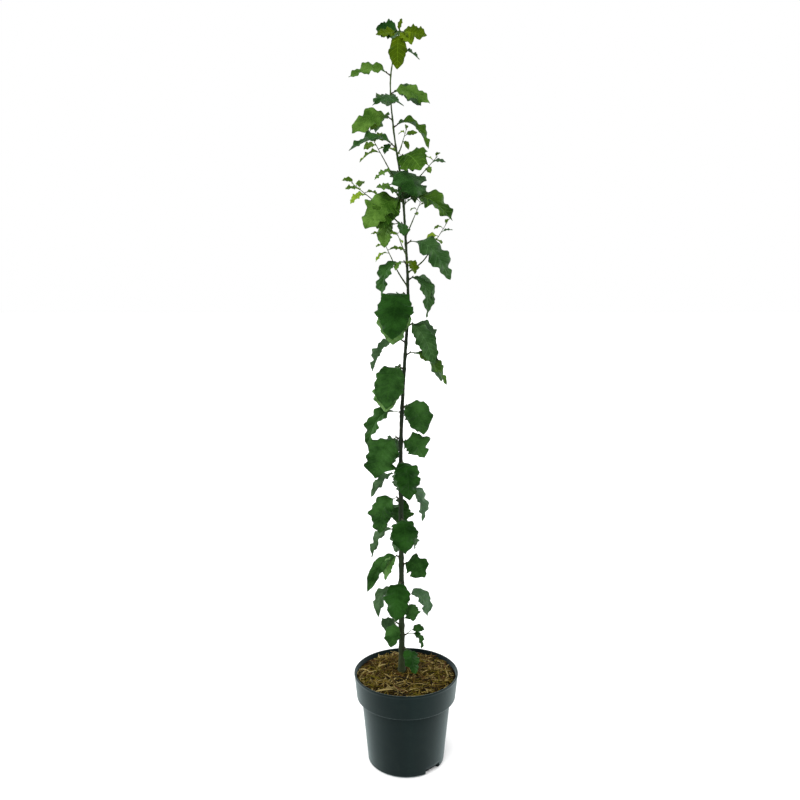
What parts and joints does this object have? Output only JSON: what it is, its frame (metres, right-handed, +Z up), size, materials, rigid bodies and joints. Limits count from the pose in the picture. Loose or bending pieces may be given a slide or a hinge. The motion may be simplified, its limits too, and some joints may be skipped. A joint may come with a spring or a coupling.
{
  "type": "potted columnar plum tree",
  "caption": "Young columnar plum tree: a slender upright trunk with hanging ruffled leaves and short side shoots, growing in a round tapered nursery pot of compost.",
  "frame": {"origin": "middle of the pot's flat underside", "axes": "+Z up along the trunk, +X to the right seen from the front, the front looks towards -Y"},
  "size_m": [0.2384, 0.22, 1.5095],
  "materials": {
    "pot": "moulded dark slate grey plastic with a soft sheen",
    "compost": "loose shredded bark and wood fibre over dark compost",
    "bark": "young brown-green bark, smooth with small lenticels",
    "shoot": "smooth green new wood",
    "leaf": "dark green leaf, waxy above, paler and matt below",
    "young_leaf": "young yellow-green leaf, thin and slightly glossy"
  },
  "bodies": {
    "root": {"leaves_01": "leaf", "leaves_02": "leaf", "leaves_03": "leaf", "leaves_04": "leaf", "leaves_05": "leaf", "leaves_06": "leaf", "leaves_07": "leaf", "leaves_08": "leaf", "leaves_09": "leaf", "leaves_10": "leaf", "leaves_11": "leaf", "leaves_12": "leaf", "leaves_13": "leaf", "leaves_14": "leaf", "leaves_15": "leaf", "leaves_16": "leaf", "leaves_17": "leaf", "leaves_18": "leaf", "leaves_19": "leaf", "leaves_20": "leaf", "leaves_21": "leaf", "leaves_22": "leaf", "leaves_23": "leaf", "leaves_24": "leaf", "leaves_25": "leaf", "leaves_26": "leaf", "leaves_27": "leaf", "leaves_28": "leaf", "leaves_29": "leaf", "leaves_30": "leaf", "leaves_31": "leaf", "leaves_32": "leaf", "leaves_33": "leaf", "leaves_34": "leaf", "leaves_35": "leaf", "leaves_36": "leaf", "leaves_37": "leaf", "leaves_38": "leaf", "leaves_tip": "young_leaf", "pot": "pot", "shoot_left_bent": "shoot", "shoot_left_bent_leaves": "young_leaf", "shoot_left_foot": "shoot", "shoot_left_foot_leaves": "young_leaf", "shoot_left_high": "shoot", "shoot_left_high_leaves": "young_leaf", "shoot_left_long": "shoot", "shoot_left_long_leaves": "young_leaf", "shoot_right_high": "shoot", "shoot_right_high_leaves": "young_leaf", "shoot_right_inner": "shoot", "shoot_right_inner_leaves": "young_leaf", "shoot_right_tip": "shoot", "shoot_right_tip_leaves": "young_leaf", "shoot_top_right": "shoot", "shoot_top_right_leaves": "young_leaf", "soil": "compost", "trunk": "bark"}
  },
  "joints": []
}
